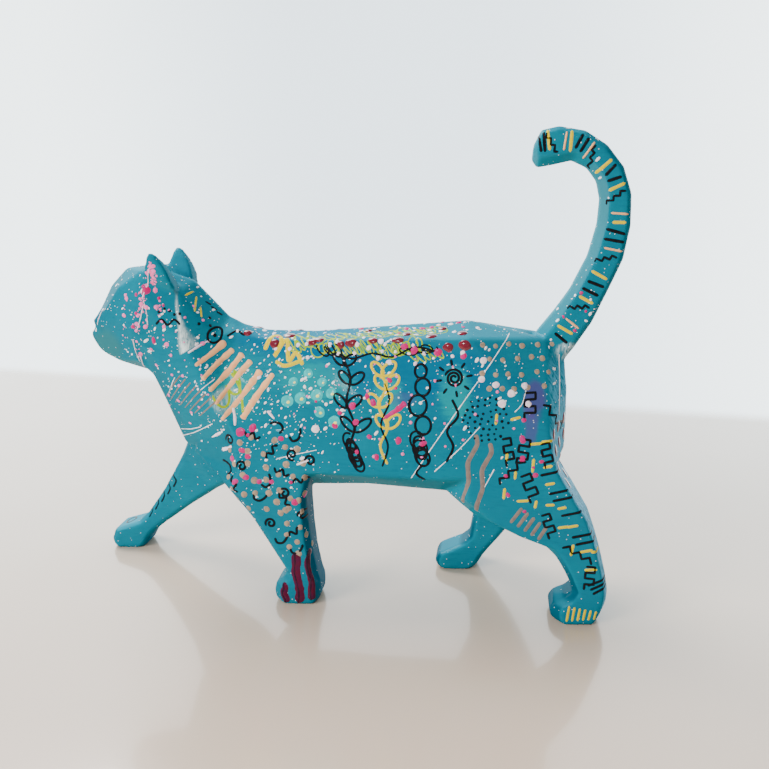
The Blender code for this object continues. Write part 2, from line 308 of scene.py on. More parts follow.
def groundCoat(settings):
    coat = Coat("turquoise_ground")
    point = coat.place()
    along, up = coat.axes(point)[::2]
    big = coat.cloud(point, 0.035, 4.0)
    mid = coat.cloud(point, 0.11, 5.0, 0.6)
    fine = coat.cloud(point, 2.6, 2.0)
    brush = coat.cloud(coat.stretch(point, (0.25, 1.0, 1.6)), 0.5, 4.0, 0.65)
    hair = coat.cloud(coat.stretch(point, (1.0, 2.2, 0.22)), 0.9, 3.0)
    dry = coat.cloud(coat.stretch(point, (2.0, 1.0, 0.2)), 0.75, 5.0, 0.75)
    planes = planeMasks(coat, along, up)
    planes["rump"] = planes["rump"] * coat.ease(hair, 0.3, 0.62) * 0.8
    patchTexture = coat.ease(dry, 0.36, 0.6)
    palePatches = patchLayers(coat, settings["palePatches"], along, up, mid, 0.8)
    layers = [  # masks and colours, the first one lowest
        (coat.ease(brush, 0.45, 0.75) * 0.35, settings["brushed"]),
        *patchLayers(coat, settings["bluer"], along, up, mid),
        *patchLayers(coat, settings["greener"], along, up, brush),
        # painted sheen on planes that face up, painted reflection of the table on planes that face down,
        # painted light on the tail's inner planes
        *[(planes[name], settings[name]) for name in ("upwardSheen", "downwardReflection", "tailInsideLight")],
        # painted reflection of the table on the chin
        *patchLayers(coat, settings["jaw"], along, up, big, 0.2),
        # painted shade on the back of the fore legs, the chest and the front of the hind paws, then the
        # rump's own pale paint
        *[(planes[name], settings[name]) for name in ("shin", "breastShade", "instepShade", "rump")],
        # pale patches, broken up by the dry noise
        *[(mask * patchTexture, colour) for mask, colour in palePatches],
        # painted highlight along the neck crease
        (paintedNeckHighlight(coat, settings["neckHighlight"], along, up, mid, dry), settings["neckHighlight"]["colour"]),
        # painted shade on the nose facet
        *patchLayers(coat, settings["nose"], along, up, big, 0.1),
        *patchLayers(coat, settings["purple"], along, up, mid),
        (fineDust(coat, point), settings["dust"]),
    ]
    first, second = settings["base"]
    tone = coat.blend(coat.ease(big, 0.35, 0.7), seen(*first), seen(*second))
    for mask, colour in layers:
        tone = coat.blend(mask, tone, seen(*colour))
    coat.varnish(settings["coatRoughness"], 0.0)
    shine = coat.ease(brush, 0.3, 0.8) * settings["roughnessSpread"] + settings["roughness"]
    relief = coat.bump(mid * 0.5 + brush * 0.35 + fine * 0.12, 0.3, settings["relief"])
    return coat.finish(Base_Color=tone, Roughness=shine, Coat_Weight=settings["coat"], Normal=relief)


skin.data.materials.clear()
skin.data.materials.append(groundCoat(ground))
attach(skin, "root")
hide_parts("papier_mache_cat")
print("ground done")


# paint laid on the skin

def skinTree(mesh):
    points = [vertex.co.copy() for vertex in mesh.vertices]
    return BVHTree.FromPolygons(points, [tuple(face.vertices) for face in mesh.polygons])


surface = skinTree(skin.data)
far = 0.4  # metres out to where the rays start
sides = {  # how a flat drawing reaches the skin: its two axes, and where the ray comes from
    "left": (Vector((1, 0, 0)), Vector((0, 0, 1)), Vector((0, -1, 0))),
    "right": (Vector((1, 0, 0)), Vector((0, 0, 1)), Vector((0, 1, 0))),
    "top": (Vector((1, 0, 0)), Vector((0, 1, 0)), Vector((0, 0, 1))),
    "rear": (Vector((0, 1, 0)), Vector((0, 0, 1)), Vector((1, 0, 0))),
    "front": (Vector((0, 1, 0)), Vector((0, 0, 1)), Vector((-1, 0, 0))),
}

# in millimetres; each point of a profile or a ring is a share of the half width and a share of the lift
brushwork = {
    "step": 0.5, "leap": 3.0, "tip": 0.05, "grain": 0.45,
    "profile": ((-1.0, -0.15), (-0.62, 0.75), (0.0, 1.0), (0.62, 0.75), (1.0, -0.15)),
    "smallDot": 0.6, "smallCorners": 8, "smallRings": ((0.6, 0.8), (1.0, -0.1)),
    "corners": 18, "rings": ((0.45, 0.92), (0.8, 0.6), (1.0, -0.1)), "unevenRim": 0.16,
}
step = brushwork["step"]


def onSkin(side, u, v):  # the skin's point and normal under a drawing point given in millimetres
    first, second, outward = sides[side]
    start = first * u * mm + second * v * mm + outward * far
    place, normal, index, distance = surface.ray_cast(start, -outward)
    return (place, normal) if place is not None else None


def plainPaint(settings):
    coat = Coat(settings["paint"])
    point = coat.place()
    grain = coat.cloud(coat.stretch(point, (1.0, 1.0, 0.7)), 0.7, 4.0, 0.6)
    tone = coat.blend(coat.ease(grain, 0.35, 0.75), seen(*settings["colour"]), seen(*settings["shade"]))
    coat.varnish(0.07, settings.get("gloss", 0.05))
    relief = coat.bump(coat.cloud(point, 2.2, 2.0), 0.075, 0.0003)
    return coat.finish(Base_Color=tone, Roughness=settings["roughness"], Coat_Weight=settings["coat"],
                       Normal=relief)


class Brush:  # strokes and dots of one paint, kept as one mesh
    def __init__(self, settings):
        self.settings = settings
        self.lift = settings["lift"] * mm
        self.points = []
        self.faces = []

    def settle(self, target, height):
        place, normal, index, distance = surface.find_nearest(target)
        place = place + normal * height
        place.y = max(cadBox[0][1], min(cadBox[1][1], place.y))
        return place

    def band(self, run, halves):
        start = len(self.points)
        for i, (place, normal) in enumerate(run):
            ahead = run[min(i + 1, len(run) - 1)][0] - run[max(i - 1, 0)][0]
            aside = normal.cross(ahead).normalized()
            height = self.lift * min(1.0, halves[i] / max(halves))
            for share, rise in brushwork["profile"]:
                self.points.append(self.settle(place + aside * halves[i] * share, height * rise))
        width = len(brushwork["profile"])
        for i in range(len(run) - 1):
            for k in range(width - 1):
                a = start + i * width + k
                self.faces.append((a, a + width, a + width + 1, a + 1))

    def stroke(self, side, path, width, wobble=0.12, seed=0):  # width is one value, or a start and an end
        first, last = width if isinstance(width, tuple) else (width, width)
        run, halves = [], []
        count = len(path)
        for i, (u, v) in enumerate(path):
            hit = onSkin(side, u, v)
            if hit is None or (run and (hit[0] - run[-1][0]).length > brushwork["leap"] * mm):
                self.close(run, halves)
                run, halves = [], []
            if hit is None:
                continue
            half = (first + (last - first) * i / (count - 1)) * mm / 2
            edge = min(1.0, (min(i, count - 1 - i) * step * mm + brushwork["tip"] * mm) / half)
            vary = 1 + wobble * noise.noise(Vector((u * brushwork["grain"], v * brushwork["grain"], seed)))
            run.append(hit)
            halves.append(half * vary * math.sqrt(1 - (1 - edge) ** 2))
        self.close(run, halves)

    def close(self, run, halves):
        if len(run) > 2:
            self.band(run, halves)

    def line(self, side, points, width):  # straight from point to point
        self.stroke(side, even(points), width)

    def bend(self, side, points, width, wobble=0.12, seed=0):  # smooth through the points
        self.stroke(side, curve(points), width, wobble, seed)

    def dot(self, side, u, v, radius, dome=1.0, oval=1.0, turn=0.0, seed=0):
        hit = onSkin(side, u, v)
        if hit is None:
            return
        place, normal = hit
        first = sides[side][0]
        first = (first - normal * first.dot(normal)).normalized()
        second = normal.cross(first)
        small = radius < brushwork["smallDot"]
        corners = brushwork["smallCorners" if small else "corners"]
        rings = brushwork["smallRings" if small else "rings"]
        start = len(self.points)
        self.points.append(self.settle(place, self.lift * dome))
        for share, rise in rings:
            for k in range(corners):
                angle = 2 * math.pi * k / corners
                x, y = math.cos(angle), math.sin(angle)
                rim = 1 + brushwork["unevenRim"] * noise.noise(Vector((x, y, seed * 3.1 + u)))
                x *= oval
                flat = (first * (x * math.cos(turn) - y * math.sin(turn))
                        + second * (x * math.sin(turn) + y * math.cos(turn)))
                target = place + flat * radius * mm * share * rim
                self.points.append(self.settle(target, self.lift * dome * rise))
        for k in range(corners):
            n = (k + 1) % corners
            self.faces.append((start, start + 1 + k, start + 1 + n))
            for ring in range(len(rings) - 1):
                a = start + 1 + ring * corners
                self.faces.append((a + k, a + corners + k, a + corners + n, a + n))

    def finish(self):
        mesh = bpy.data.meshes.new(self.settings["name"])
        mesh.from_pydata(self.points, [], self.faces)
        mesh.shade_smooth()
        mesh.materials.append(plainPaint(self.settings))
        item = addObject(self.settings["name"], mesh)
        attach(item, "root")
        print(self.settings["name"], len(self.faces))


# drawing shapes, all in millimetres

def even(points):  # the same line with points a step apart
    result = [points[0]]
    for a, b in zip(points, points[1:]):
        count = max(1, round(math.dist(a, b) / step))
        for i in range(1, count + 1):
            result.append((a[0] + (b[0] - a[0]) * i / count, a[1] + (b[1] - a[1]) * i / count))
    return result


def curve(points):  # smooth line through the points
    ring = points[:1] + points + points[-1:]
    result = []
    for i in range(1, len(ring) - 2):
        p0, p1, p2, p3 = [np.array(p) for p in ring[i - 1:i + 3]]
        count = max(2, int(np.linalg.norm(p2 - p1) / step))
        for k in range(count):
            t = k / count
            spot = 0.5 * (2 * p1 + (p2 - p0) * t + (2 * p0 - 5 * p1 + 4 * p2 - p3) * t * t
                          + (3 * p1 - p0 - 3 * p2 + p3) * t ** 3)
            result.append(tuple(spot))
    result.append(tuple(ring[-2]))
    return result


def turned(points, u, v, angle):
    cosine, sine = math.cos(angle), math.sin(angle)
    return [(u + x * cosine - y * sine, v + x * sine + y * cosine) for x, y in points]


def bowed(start, end, aside, above=0.0):  # three points, the middle one moved off the straight
    return [start, ((start[0] + end[0]) / 2 + aside, (start[1] + end[1]) / 2 + above), end]


def spiral(u, v, inner, outer, turns, start=0.0, squash=1.0):
    count = max(12, int(turns * math.pi * (inner + outer) / step))
    result = []
    for i in range(count + 1):
        share = i / count
        angle = start + turns * 2 * math.pi * share
        radius = inner + (outer - inner) * share
        result.append((u + radius * math.cos(angle), v + radius * math.sin(angle) * squash))
    return result


def coil(start, end, wide, tall, loops, rng):  # a loose scribble of loops that drifts along a line
    count = int(loops * math.pi * (wide + tall) / 2 / step)
    phase = rng.uniform(0, 6)
    result = []
    for i in range(count + 1):
        share = i / count
        angle = 2 * math.pi * loops * share
        swell = 0.8 + 0.2 * math.sin(angle * 0.37 + phase)
        x = wide / 2 * swell * math.cos(angle + phase)
        y = tall / 2 * swell * math.sin(angle + phase * 0.7)
        u = start[0] + (end[0] - start[0]) * share + x
        v = start[1] + (end[1] - start[1]) * share + y
        result.append((u, v))
    return result


def leaf(u, v, length, wide, angle):
    count = max(12, int(length * 2.4 / step))
    turns = [2 * math.pi * i / count for i in range(count + 1)]
    return turned([(length / 2 * (1 - math.cos(t)), wide / 2 * math.sin(t)) for t in turns], u, v, angle)


def scatter(rng, centre, reach, gap, count):  # spots in an oval that keep clear of each other
    spots = []
    for attempt in range(count * 40):
        angle, radius = rng.uniform(0, 2 * math.pi), math.sqrt(rng.random())
        u = centre[0] + reach[0] * radius * math.cos(angle)
        v = centre[1] + reach[1] * radius * math.sin(angle)
        if all(math.dist((u, v), other) > gap for other in spots):
            spots.append((u, v))
        if len(spots) == count:
            break
    return spots


def roundDots(pen, rng, side, spots, size):
    for u, v in spots:
        pen.dot(side, u, v, rng.uniform(*size), seed=u)


def unevenDots(pen, rng, side, spots, size, dome, oval, turn=(0, 3)):
    for u, v in spots:
        pen.dot(side, u, v, rng.uniform(*size), dome, rng.uniform(*oval), rng.uniform(*turn), u)


# marks down the side of the tail, shared out between three paints
tail = {"line": [(88, 110), (94.5, 120), (100, 130), (105, 141), (107.4, 152), (107.2, 163), (103.4, 172.5),
                 (97, 179), (90, 183), (83, 183.5), (77.5, 182.5)],
        "half": 4.8, "marks": 34,
        "kinds": ("bar", "yellow", "tan", "stairs", "gap", "yellow", "bar", "bar", "yellow", "stairs", "gap",
                  "tan", "bar")}


def tailSpot(share):  # point and direction on the middle line of the tail's side
    points = tail["line"]
    place = share * (len(points) - 1)
    i = min(int(place), len(points) - 2)
    a, b = np.array(points[i]), np.array(points[i + 1])
    return a + (b - a) * (place - i), (b - a) / np.linalg.norm(b - a)


def tailMarks(rng, *wanted):  # the marks of the wanted kinds, from the root to the tip
    marks = []
    for k in range(tail["marks"]):
        kind = tail["kinds"][k % len(tail["kinds"])]
        if kind == "gap":
            continue
        spot, run = tailSpot((k + 0.4) / tail["marks"])
        aside = np.array((run[1], -run[0]))
        lean = rng.uniform(-0.3, 0.3)
        start = spot + aside * tail["half"] * rng.uniform(-0.7, -0.2) + run * lean
        end = spot + aside * tail["half"] * rng.uniform(0.8, 1.0) - run * lean
        points = [start, end]
        if kind == "stairs":
            points = [spot - aside * 3.4]
            for move in (run * 1.5, aside * 2.3, run * 1.7, aside * 2.3, run * 1.7, aside * 2.2):
                points.append(points[-1] + move)
        if kind in wanted:
            marks.append((kind, [tuple(point) for point in points]))
    return marks


# black marker drawing
blackMarker = {"name": "black_marker", "paint": "black_paint", "seed": 4, "lift": 0.14,
               "tailBar": 1.3, "bar": 1.15, "hook": 1.1, "line": 1.05, "soft": 1.0, "slim": 0.95,
               "dense": 0.9, "thin": 0.85, "knot": 0.8, "flatKnot": 0.7,
               "colour": (18, 18, 22), "shade": (28, 30, 36), "roughness": 0.34, "coat": 0.1}


def fern(pen, rng, widths):  # with a dense curl at its foot, and an echo behind the yellow spray
    stem = [(12.5, 60), (9.5, 68), (11, 76), (7.5, 85), (8.5, 94), (5.5, 101)]
    pen.bend("left", stem, widths["line"])
    for k, (u, v) in enumerate(stem[2:]):
        pen.stroke("left", leaf(u, v - 2, 8.0 - k * 0.6, 3.4, 0.65), widths["line"])
        pen.stroke("left", leaf(u, v - 2, 7.6 - k * 0.6, 3.0, math.pi - 0.75), widths["line"])
    pen.stroke("left", coil((9, 70), (13, 61), 5.5, 6.5, 8, rng), widths["dense"])
    pen.bend("left", [(22.5, 61), (24.5, 69), (21.5, 77), (24.5, 86), (22.5, 93)], widths["thin"])


def ringString(pen, rng, widths):  # ends in a knot
    rings = ((36.5, 98, 2.4), (37.5, 92.2, 3.0), (35.8, 85.2, 3.6), (38, 77.6, 3.2))
    for k, (u, v, size) in enumerate(rings):
        pen.stroke("left", spiral(u, v, size, size * 0.92, 1.2, k * 1.3, 1.15), widths["line"])
    pen.stroke("left", coil((36, 72), (38.5, 64), 6, 7, 7, rng), widths["dense"])
    pen.bend("left", [(38, 62), (36, 59), (39.5, 56.5)], widths["line"])


def sun(pen, u, v, widths):  # on a wavy stalk
    pen.stroke("left", spiral(u, v, 0.7, 3.6, 2.4, 0.4), widths["line"])
    for k in range(8):
        angle = k * math.pi / 4 + 0.2
        ray = [(u + r * math.cos(angle), v + r * math.sin(angle)) for r in (4.7, 7.2)]
        pen.line("left", ray, widths["line"])
    pen.bend("left", [(49, 88), (51.5, 82), (47.5, 76), (50, 70), (47.5, 64)], widths["line"])


def backLine(pen, rng, widths):  # long and loose, under the back
    pen.bend("left", [(3, 103), (9, 101.5), (17, 104), (25, 103), (34, 107), (43, 105.5)], widths["dense"])
    pen.stroke("left", coil((-4, 103.5), (3, 104.5), 5, 5, 3, rng), widths["knot"])
    pen.stroke("left", coil((30, 105), (41, 107), 6, 3, 4, rng), widths["flatKnot"])


def shoulderHooks(pen, rng, widths):  # curls, waves and shallow hooks in turn
    wave = [(-3.4, 0), (-1.7, 1.5), (0, -0.6), (1.7, 1.5), (3.4, 0)]
    hook = [(-2.3, 1.7), (-2.7, -0.5), (-0.7, -1.7), (1.7, -0.9), (3.1, 0.3)]
    spots = scatter(rng, (-25, 60), (19, 15), 7.2, 15) + scatter(rng, (-15, 35), (8, 12), 6.2, 6)
    for k, (u, v) in enumerate(spots):
        angle = rng.uniform(0, 3.1)
        if k % 3 == 0:
            pen.stroke("left", spiral(u, v, 0.5, 2.3, 1.35, angle), widths["hook"])
        else:
            pen.bend("left", turned(wave if k % 3 == 1 else hook, u, v, angle), widths["hook"])


def neckMarks(pen, widths):  # a wave, dots, a ring and dashes
    wave = [(-71, 113.5), (-68.5, 115.5), (-66, 113.5), (-63.5, 115.5), (-61, 113.5)]
    pen.bend("left", wave, widths["soft"])
    for k in range(5):
        pen.dot("left", -69.5 + k * 2.0, 118.5 + 1.2 * math.sin(k * 1.4), 0.62, seed=k)
    pen.stroke("left", spiral(-48.6, 108.6, 2.5, 2.5, 1.05, 0.4, 1.15), widths["line"])
    pen.dot("left", -48.6, 108.6, 0.8, seed=3)
    for k in range(3):
        u, v = k * 2.2, k * 2.1
        pen.line("left", [(-54.4 + u, 121.4 - v), (-52.2 + u, 119.8 - v)], widths["dense"])
    for u, v in ((-54.5, 113.5), (-51.5, 115.2), (-50.6, 112.4)):
        pen.dot("left", u, v, 0.7, seed=u)
    pen.bend("left", [(-44, 108), (-40.5, 110), (-37.5, 108.5), (-35, 109.5)], widths["slim"])


def farForeLeg(pen, widths):  # curved ticks up the leg and a ring on the paw
    for k in range(5):
        u, v = k * 3.4, k * 4.1
        pen.bend("left", [(-94 + u, 16 + v), (-92.3 + u, 19.6 + v), (-94.4 + u, 22 + v)], widths["dense"])
    pen.stroke("top", spiral(-106.5, 19.5, 2.1, 2.1, 1.05, 0.4, 1.4), widths["soft"])


def meander(u, v, angle, steps, rng):  # battlements or steps
    pitch, height = rng.uniform(2.3, 2.8), rng.uniform(3.2, 4.2)
    points = [(0.0, 0.0)]
    for k in range(3 if steps else 4):
        x, y = points[-1]
        rise = height * (0.75 if steps else 1) * (1 if steps or k % 2 == 0 else -1)
        points.append((x, y + rise))
        points.append((x + pitch * (1.3 if steps else 1), y + rise))
    return turned(points, u, v, angle)


def hindLeg(pen, rng, widths):  # meanders down the leg, and bars at its back edge
    starts = {"left": ((68.5, 73.5, -1.35), (76.5, 91, -1.55), (83.5, 86.5, -1.75), (75.5, 74, -1.7),
                       (83, 72, -1.3), (68.5, 56, 0.15), (76, 59.5, -1.15), (84.5, 44.5, -1.2),
                       (93, 32, -1.3), (102.5, 25, -1.6)),
              "right": ((52, 72, -1.3), (60, 64, -1.5), (68, 74, -1.2), (58, 50, -1.0), (66, 42, -1.5),
                        (74, 60, -1.4))}
    for side, marks in starts.items():
        for k, (u, v, angle) in enumerate(marks):
            pen.line(side, meander(u, v, angle, k % 3 == 2, rng), widths["line"])
    for u, v in ((83.5, 60.5), (87, 53.5), (88.5, 50.8), (92, 45), (96.5, 36.4), (98, 33.6)):
        pen.line("left", [(u, v), (u + 10, v + 2.8)], widths["bar"])
    for k in range(3):
        pen.line("left", [(103.5 + k * 1.1, 17.0 - k * 1.7), (111.5, 21 - k * 1.7)], widths["hook"])


def drawBlack(settings):
    rng = random.Random(settings["seed"])
    pen = Brush(settings)
    fern(pen, rng, settings)
    ringString(pen, rng, settings)
    sun(pen, 49.5, 96, settings)
    backLine(pen, rng, settings)
    shoulderHooks(pen, rng, settings)
    neckMarks(pen, settings)
    farForeLeg(pen, settings)
    # small dots on the flank side of the hip
    for side in ("left", "right"):
        roundDots(pen, rng, side, scatter(rng, (62, 81), (9, 8.5), 1.9, 50), (0.45, 0.62))
    hindLeg(pen, rng, settings)
    for kind, mark in tailMarks(rng, "bar", "stairs"):
        pen.line("left", mark, settings["tailBar" if kind == "bar" else "slim"])
        pen.line("right", mark, settings["hook"])
    # quiet curls on the far side
    for u, v in scatter(rng, (8, 82), (44, 18), 15, 9):
        curl = spiral(u, v, 0.8, rng.uniform(3.0, 4.6), rng.uniform(1.2, 2.0), rng.uniform(0, 6))
        pen.stroke("right", curl, settings["soft"])
        pen.bend("right", [(u, v - 5), (u + 2, v - 9), (u - 1, v - 13), (u + 1, v - 17)], settings["soft"])
    pen.finish()


# yellow, lime and peach
yellowMarker = {"name": "yellow_marker", "paint": "yellow_paint", "seed": 9, "lift": 0.12,
                "bold": 1.9, "underline": 1.7, "spray": 1.1, "dash": 1.15, "tail": 1.25, "farTail": 1.2,
                "toe": 1.0, "thin": 0.9,
                "colour": (203, 192, 0), "shade": (206, 198, 40), "roughness": 0.34, "coat": 0.1}


def drawYellow(settings):
    rng = random.Random(settings["seed"])
    pen = Brush(settings)
    # a bold curl on the withers
    pen.bend("left", [(-28, 103), (-25.5, 108), (-21, 107), (-23.5, 101), (-19, 107.5), (-17.5, 99.5),
                      (-14.5, 102.5), (-11.5, 98)], settings["bold"])
    pen.bend("left", [(-23, 99), (-19, 97.3), (-12.5, 99.5)], settings["underline"])
    # a leafy spray
    stem = [(24.5, 62), (21.5, 69), (24, 76), (20.5, 84), (23, 91), (21.5, 96)]
    pen.bend("left", stem, settings["spray"])
    for u, v in stem[2:]:
        pen.stroke("left", leaf(u, v, 6.8, 3.8, 0.8), settings["spray"])
        pen.stroke("left", leaf(u, v, 6.2, 3.4, math.pi - 0.8), settings["spray"])
    # dashes on the hind leg: place and direction
    dashes = {"left": ((66, 79, 1.5), (71.5, 81, 0.3), (70.5, 65, 1.5), (79, 72, 0.1), (74, 58.5, 1.5),
                       (83.5, 73, 0.1), (80.5, 61.5, 1.5), (86, 49, 0.1), (70, 50.5, 1.5), (75, 50, 0.1),
                       (82, 47.5, 1.4), (91, 40, 0.2), (96.5, 29, 1.4), (104, 31, 0.1), (102, 23.5, 0.1),
                       (84.5, 63.5, 0.25), (85.5, 57, 0.25), (90.5, 47.8, 0.25), (94.5, 40.5, 0.25),
                       (99.5, 30.6, 0.25)),
              "right": ((56, 76, 1.5), (64, 66, 0), (57, 58, 1.5), (62, 46, 0), (60, 28, 0), (70, 66, 1.5))}
    for side, marks in dashes.items():
        for u, v, angle in marks:
            length = rng.uniform(3.2, 5.4)
            end = (u + length * math.cos(angle), v + length * math.sin(angle))
            pen.line(side, [(u, v), end], settings["dash"])
    for kind, mark in tailMarks(rng, "yellow"):
        pen.line("left", mark, settings["tail"])
        pen.line("right", mark, settings["farTail"])
    # dashes behind the cheek, and toes
    for ends in ([(-57.4, 123.6), (-56.3, 118.2)], [(-55.2, 119.6), (-53.8, 115.8)],
                 [(-60.6, 124.5), (-58.8, 125.6)]):
        pen.line("left", ends, settings["thin"])
    for k in range(6):
        pen.line("left", [(96.3 + k * 2.1, 1.6 + 0.2 * k), (97.0 + k * 2.1, 8.2 - 0.35 * k)], settings["toe"])
    for k in range(5):
        pen.line("right", [(44.5 + k * 2.2, 2.0), (45.2 + k * 2.2, 7.6)], settings["thin"])
    pen.finish()


limeScribble = {"name": "lime_scribble", "paint": "lime_paint", "seed": 12, "lift": 0.07,
                "line": 0.55, "farLine": 0.6, "bold": 1.1, "sweep": 1.2, "wobble": 0.3,
                "colour": (158, 184, 0), "shade": (190, 196, 30), "roughness": 0.36, "coat": 0.1}


def drawLime(settings):
    rng = random.Random(settings["seed"])
    pen = Brush(settings)
    line, wobble = settings["line"], settings["wobble"]
    for u in (-14, -3, 6, 14, 22, 30, 37):
        high = 106.5 + rng.uniform(-1.5, 1.5)
        pen.stroke("left", coil((u - 4, high - 2), (u + 6, high + 1), 5, 5.5, 4.5, rng), line, wobble)
        pen.stroke("top", coil((u - 5, -9), (u + 8, -6), 8, 6, 3.5, rng), line, wobble)
    pen.stroke("left", coil((-45, 82), (-37, 92), 5, 8, 2.2, rng), settings["bold"], wobble)
    pen.bend("left", [(-41, 94), (-37, 88), (-35, 79)], settings["sweep"])
    for u in (-28, -8, 14):
        pen.stroke("right", coil((u, 104), (u + 12, 106), 6, 5, 4, rng), settings["farLine"], wobble)
    pen.finish()


peachStrokes = {"name": "peach_strokes", "paint": "peach_paint", "seed": 15, "lift": 0.3, "tail": 0.85,
                "colour": (236, 190, 158), "shade": (228, 180, 148), "roughness": 0.36, "coat": 0.1}


def drawPeach(settings):
    pen = Brush(settings)
    bars = (  # low end, high end, and the width at each
        ((-54.5, 97.5), (-44.5, 106), 1.5, 3.6), ((-51.5, 92), (-41.2, 103), 2.0, 2.7),
        ((-48.6, 87.5), (-37.2, 101.4), 1.9, 2.6), ((-46, 82.4), (-33.4, 98.8), 1.6, 2.9),
        ((-43.6, 76), (-29, 95.2), 1.5, 3.4), ((-35.2, 76.6), (-23.6, 94.2), 2.8, 2.4))
    for side in ("left", "right"):
        for k, (low, high, first, last) in enumerate(bars):
            pen.bend(side, bowed(low, high, 0.5 * (-1) ** k), (first, last), 0.4, k)
    for kind, mark in tailMarks(random.Random(settings["seed"]), "tan"):
        pen.line("left", mark, settings["tail"])
    pen.finish()


drawBlack(blackMarker)
drawYellow(yellowMarker)
drawLime(limeScribble)
drawPeach(peachStrokes)

# quiet earth tones: wavy lines, hatch and dots
mauveLines = {"name": "mauve_lines", "paint": "mauve_paint", "lift": 0.12,
              "wavy": 1.9, "farWavy": 1.8, "bar": 1.5, "hatch": (0.45, 0.75),
              "colour": (160, 148, 138), "shade": (140, 130, 128), "roughness": 0.4, "coat": 0.1}


def drawMauve(settings):
    pen = Brush(settings)
    for u, top, low in ((58.5, 75, 46), (64, 72, 44)):
        path = []
        for i in range(9):
            wave = 1.4 * math.sin(i * 1.5) * (1 - i / 9)
            path.append((u - 0.55 * i + wave, top + (low - top) * i / 8))
        pen.bend("left", path, settings["wavy"])
        pen.bend("right", [(x - 10, z) for x, z in path], settings["farWavy"])
    for k in range(5):
        pen.line("left", [(73 + k * 2.7, 41 - k * 1.6), (77.2 + k * 2.4, 47.4 - k * 1.8)], settings["bar"])
    for side in ("left", "right"):
        for k in range(8):
            u, v = -69 + k * 2.3, 83.5 - k * 0.9
            pen.line(side, [(u - 2, v - 1.5), (u + 7.5, v + 9.5 - k * 0.4)], settings["hatch"])
    pen.finish()


taupeDots = {"name": "taupe_dots", "paint": "taupe_paint", "seed": 21, "lift": 0.16, "shoulder": (1.15, 1.5),
             "leg": (1.15, 1.45), "rump": (0.95, 1.2), "pitch": 5.2, "stray": 0.6, "rumpBack": 87,
             "colour": (182, 170, 152), "shade": (158, 146, 134), "roughness": 0.38, "coat": 0.1}


def drawTaupe(settings):
    rng = random.Random(settings["seed"])
    pen = Brush(settings)
    pitch, stray = settings["pitch"], settings["stray"]
    for side in ("left", "right"):
        roundDots(pen, rng, side, scatter(rng, (-25, 55), (19, 16), 4.6, 32), settings["shoulder"])
    roundDots(pen, rng, "left", scatter(rng, (-12, 34), (8, 12), 4.0, 16), settings["leg"])
    # rows on the rump, every second one half a pitch along
    for side in ("left", "right"):
        for row in range(4):
            for k in range(6):
                u = 60 + k * pitch + (row % 2) * pitch / 2 + rng.uniform(-stray, stray)
                v = 108.5 - row * pitch + rng.uniform(-stray, stray)
                if u < settings["rumpBack"]:
                    pen.dot(side, u, v, rng.uniform(*settings["rump"]), seed=u)
    pen.finish()


paleSpots = {"name": "pale_spots", "paint": "pale_paint", "seed": 31, "lift": 0.2, "dot": (1.3, 1.8),
             "colour": (226, 212, 220), "shade": (228, 190, 206), "roughness": 0.34, "coat": 0.1}


def drawPale(settings):
    rng = random.Random(settings["seed"])
    pen = Brush(settings)
    spots = ((60, 96), (65.5, 94), (71.5, 91), (68, 87), (76.5, 93.5), (78, 87), (-30, 93), (-5, 74),
             (60.5, 103))
    roundDots(pen, rng, "left", spots, settings["dot"])
    unevenDots(pen, rng, "left", scatter(rng, (14, 105), (40, 5), 3.0, 30), (0.6, 1.2), 0.8, (0.6, 1.4))
    unevenDots(pen, rng, "top", scatter(rng, (10, -4), (60, 8), 3.6, 40), (0.5, 1.1), 0.8, (0.6, 1.4))
    drips = (  # fine ones on the head, a painted highlight along the edge of the nose, and flicks on the shoulder: two ends, and the width at each
        ((-72.5, 136), (-76.2, 124), 0.4, 0.6), ((-76, 121), (-79.6, 110), 0.6, 0.35),
        ((-76, 124), (-74.6, 113), 0.3, 0.4), ((-81.6, 107), (-80.6, 97), 0.5, 0.35),
        # the first one here is the painted highlight along the nose
        ((-98.2, 117.5), (-101.4, 110.8), 0.4, 0.5), ((-80, 100), (-79, 82), 0.5, 0.4),
        ((-45, 62.5), (-39.5, 65.5), 1.6, 1.0), ((-51, 66), (-45.5, 69.5), 0.5, 1.5),
        ((-38, 74), (-39.5, 81), 1.0, 1.8), ((-57.5, 102.5), (-50, 107), 0.9, 0.6),
        ((-25, 80), (-22, 77), 1.0, 0.7), ((-12, 60), (-7, 62), 0.6, 1.1))
    for low, high, first, last in drips:
        pen.bend("left", bowed(low, high, rng.uniform(-0.5, 0.5)), (first, last), 0.6, low[0])
    pen.finish()


drawMauve(mauveLines)
drawTaupe(taupeDots)
drawPale(paleSpots)

# thick dots with domes
maroonDots = {"name": "maroon_dots", "paint": "maroon_paint", "seed": 41, "lift": 0.55, "dot": (1.6, 2.2),
              "colour": (146, 8, 42), "shade": (118, 6, 34), "roughness": 0.18, "coat": 1.0, "gloss": 0.3}


